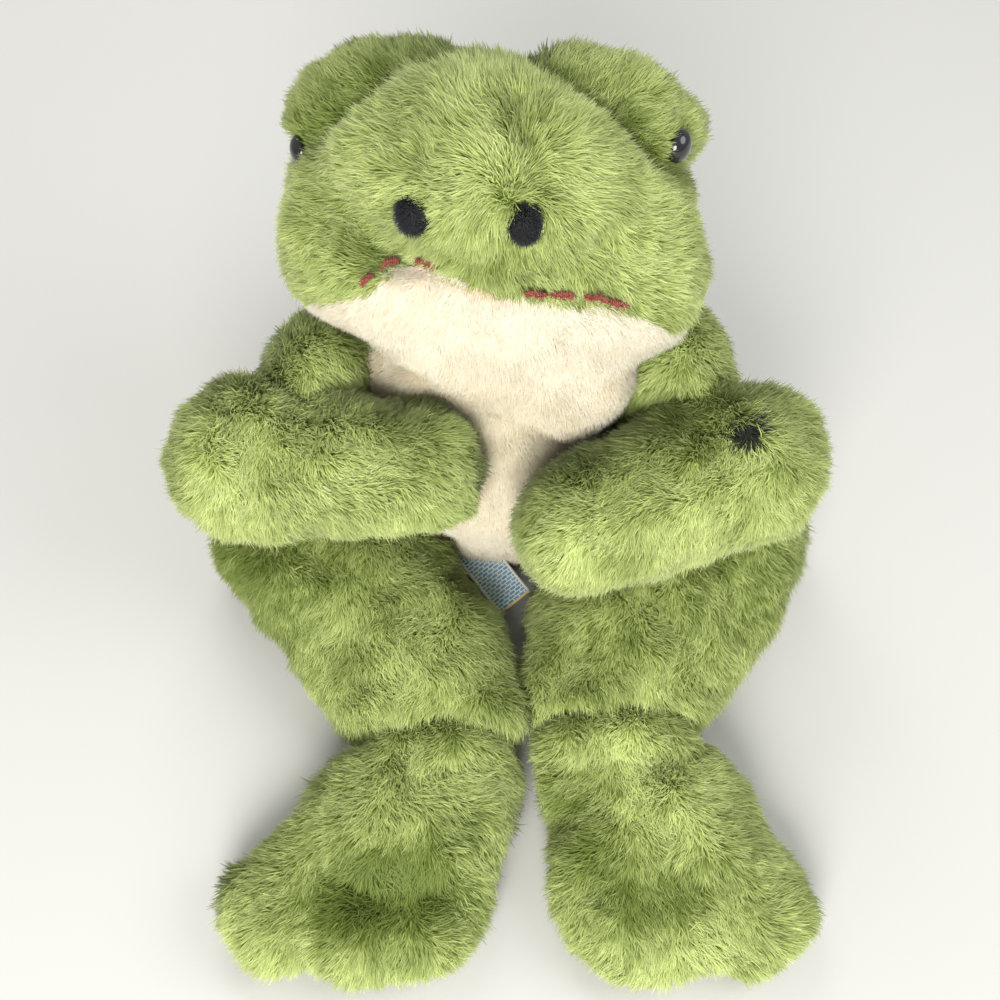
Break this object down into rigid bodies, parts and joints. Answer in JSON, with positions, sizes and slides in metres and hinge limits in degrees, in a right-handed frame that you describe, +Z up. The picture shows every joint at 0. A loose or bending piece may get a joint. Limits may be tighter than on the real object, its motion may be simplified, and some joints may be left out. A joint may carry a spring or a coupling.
{
  "type": "plush frog",
  "caption": "Seated soft toy frog in long green pile with a cream chin and belly, glossy eyes, arms folded round the belly and legs stretched forward.",
  "frame": {"origin": "middle of the bounding box in plan, at the level the frog sits on", "axes": "+Z up, the frog faces -Y, +X is the frog's own left"},
  "size_m": [0.2588, 0.299, 0.2131],
  "materials": {
    "green_pile": "long soft green pile",
    "foot_top": "long soft green pile, a little darker",
    "foot_sole": "green pile",
    "cream_pile": "short dense cream pile",
    "stuffing": "loose white fibre",
    "nostril_pile": "black pile",
    "eye": "polished black",
    "washer": "plain white",
    "mouth_thread": "twisted thread",
    "sewing_thread": "twisted thread",
    "label": "woven ribbon"
  },
  "bodies": {
    "body": {"body_cover": "green_pile", "belly_panel": "cream_pile", "body_stuffing": "stuffing", "closing_seam_thread": "sewing_thread", "sewn_label": "label"},
    "neck": {"neck_stuffing": "stuffing", "neck_tie_thread": "sewing_thread"},
    "head": {"head_cover": "green_pile", "chin_panel": "cream_pile", "head_stuffing": "stuffing", "left_eye_mound_cover": "green_pile", "left_eye_mound_stuffing": "stuffing", "left_eye": "eye", "left_eye_washer": "washer", "left_nostril": "nostril_pile", "left_mouth_thread": "mouth_thread", "right_eye_mound_cover": "green_pile", "right_eye_mound_stuffing": "stuffing", "right_eye": "eye", "right_eye_washer": "washer", "right_nostril": "nostril_pile", "right_mouth_thread": "mouth_thread"},
    "left_arm": {"left_arm_cover": "green_pile", "left_arm_stuffing": "stuffing"},
    "left_leg": {"left_leg_cover": "green_pile", "left_leg_stuffing": "stuffing"},
    "left_foot": {"left_foot_top": "foot_top", "left_foot_sole": "foot_sole", "left_foot_stuffing": "stuffing"},
    "right_arm": {"right_arm_cover": "green_pile", "right_arm_stuffing": "stuffing"},
    "right_leg": {"right_leg_cover": "green_pile", "right_leg_stuffing": "stuffing"},
    "right_foot": {"right_foot_top": "foot_top", "right_foot_sole": "foot_sole", "right_foot_stuffing": "stuffing"}
  },
  "joints": [
    {"name": "neck_turn", "type": "hinge", "parent": "body", "child": "neck", "pos_m": [-0.00178, 0.08644, 0.108], "axis": [0, 0, 1], "range_deg": [-20, 20]},
    {"name": "neck_nod", "type": "hinge", "parent": "neck", "child": "head", "pos_m": [-0.00178, 0.08644, 0.108], "axis": [1, 0, 0], "range_deg": [-8, 12]},
    {"name": "left_shoulder", "type": "hinge", "parent": "body", "child": "left_arm", "pos_m": [0.06622, 0.07144, 0.093], "axis": [0, 0, 1], "range_deg": [0, 60]},
    {"name": "left_hip", "type": "hinge", "parent": "body", "child": "left_leg", "pos_m": [0.04522, 0.04644, 0.027], "axis": [1, 0, 0], "range_deg": [0, 50]},
    {"name": "left_ankle", "type": "hinge", "parent": "left_leg", "child": "left_foot", "pos_m": [0.04822, -0.06456, 0.017], "axis": [1, 0, 0], "range_deg": [-40, 20]},
    {"name": "right_shoulder", "type": "hinge", "parent": "body", "child": "right_arm", "pos_m": [-0.07078, 0.06944, 0.09], "axis": [0, 0, -1], "range_deg": [0, 60]},
    {"name": "right_hip", "type": "hinge", "parent": "body", "child": "right_leg", "pos_m": [-0.04878, 0.04544, 0.026], "axis": [1, 0, 0], "range_deg": [0, 50]},
    {"name": "right_ankle", "type": "hinge", "parent": "right_leg", "child": "right_foot", "pos_m": [-0.02478, -0.06956, 0.016], "axis": [1, 0, 0], "range_deg": [-40, 20]}
  ]
}
